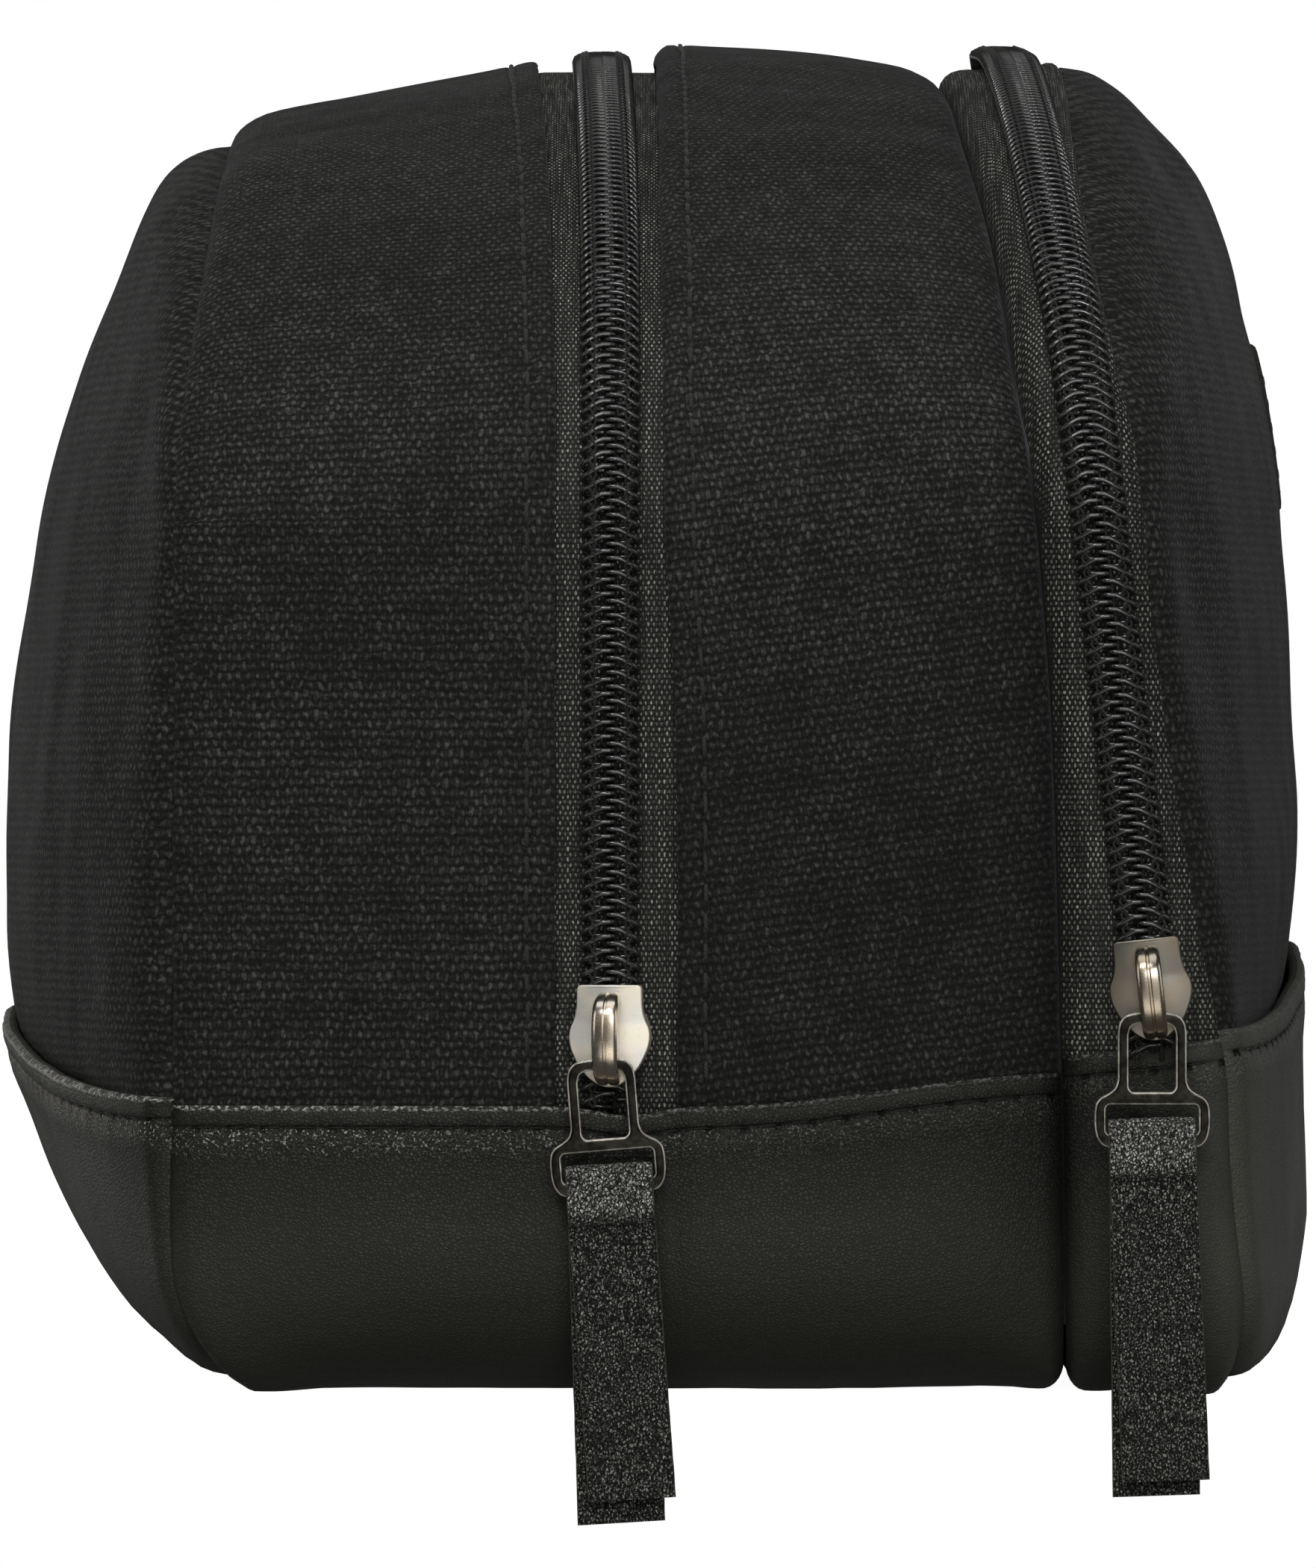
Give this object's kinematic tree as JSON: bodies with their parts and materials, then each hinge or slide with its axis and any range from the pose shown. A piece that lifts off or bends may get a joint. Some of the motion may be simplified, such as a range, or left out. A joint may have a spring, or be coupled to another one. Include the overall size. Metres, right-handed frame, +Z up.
{
  "type": "shaving kit bag",
  "caption": "Soft wash bag with a canvas upper, a leather base band, a zipped main compartment and a zipped front pocket, with leather-tabbed zip pulls.",
  "frame": {"origin": "centre of the base, on the surface the bag rests on", "axes": "+Z up, +X towards the front pocket side, +Y along the length, away from the end that carries the zip pulls"},
  "size_m": [0.1439, 0.2574, 0.1601],
  "materials": {
    "canvas": "black brushed plain-weave canvas",
    "leather": "black fine-grained faux leather, soft satin",
    "tape": "black woven zip tape",
    "coil": "black nylon coil, semi-gloss",
    "gunmetal": "gunmetal-plated die-cast metal, lightly worn",
    "tab_leather": "black pebbled leather, semi-gloss",
    "lining": "dark grey polyester lining",
    "foam": "thin sheet foam",
    "board": "plain stiffener board"
  },
  "bodies": {
    "root": {"canvas_back_panel": "canvas", "canvas_front_panel": "canvas", "canvas_gusset_rear": "canvas", "canvas_gusset_mid": "canvas", "leather_base_strip": "leather", "leather_back_band": "leather", "leather_pocket_strip": "leather", "leather_front_band": "leather", "front_patch": "leather", "main_zip_tape_rear": "tape", "main_zip_tape_mid": "tape", "pocket_zip_tape_rear": "tape", "pocket_zip_tape_front": "tape", "main_zip_coil_rear": "coil", "main_zip_coil_mid": "coil", "pocket_zip_coil_rear": "coil", "pocket_zip_coil_front": "coil", "lining_back_panel": "lining", "lining_front_panel": "lining", "lining_gusset_rear": "lining", "lining_gusset_mid": "lining", "lining_bottom": "lining", "lining_pocket_bottom": "lining", "divider_panel": "lining", "foam_back_panel": "foam", "foam_front_panel": "foam", "base_board": "board"},
    "main_slider": {"main_slider_body": "gunmetal", "main_slider_crown": "gunmetal"},
    "main_pull": {"main_pull_link": "gunmetal"},
    "main_tab": {"main_pull_tab": "tab_leather"},
    "pocket_slider": {"pocket_slider_body": "gunmetal", "pocket_slider_crown": "gunmetal"},
    "pocket_pull": {"pocket_pull_link": "gunmetal"},
    "pocket_tab": {"pocket_pull_tab": "tab_leather"}
  },
  "joints": [
    {"name": "main_slider_slide", "type": "slide", "parent": "root", "child": "main_slider", "axis": [0, 0, 1], "range_m": [0, 0.045]},
    {"name": "main_pull_hinge", "type": "hinge", "parent": "main_slider", "child": "main_pull", "pos_m": [-0.0061, -0.1286, 0.03455], "axis": [-0.9968, 0, -0.0802], "range_deg": [0, 120]},
    {"name": "main_tab_hinge", "type": "hinge", "parent": "main_pull", "child": "main_tab", "pos_m": [-0.00507, -0.1286, 0.02169], "axis": [-0.9968, 0, -0.0802], "range_deg": [0, 70]},
    {"name": "pocket_slider_slide", "type": "slide", "parent": "root", "child": "pocket_slider", "axis": [-0.1087, 0, 0.9941], "range_m": [0, 0.042]},
    {"name": "pocket_pull_hinge", "type": "hinge", "parent": "pocket_slider", "child": "pocket_pull", "pos_m": [0.05183, -0.1292, 0.03943], "axis": [-1, 0, 0], "range_deg": [0, 120]},
    {"name": "pocket_tab_hinge", "type": "hinge", "parent": "pocket_pull", "child": "pocket_tab", "pos_m": [0.05183, -0.1292, 0.02653], "axis": [-1, 0, 0], "range_deg": [0, 70]}
  ]
}
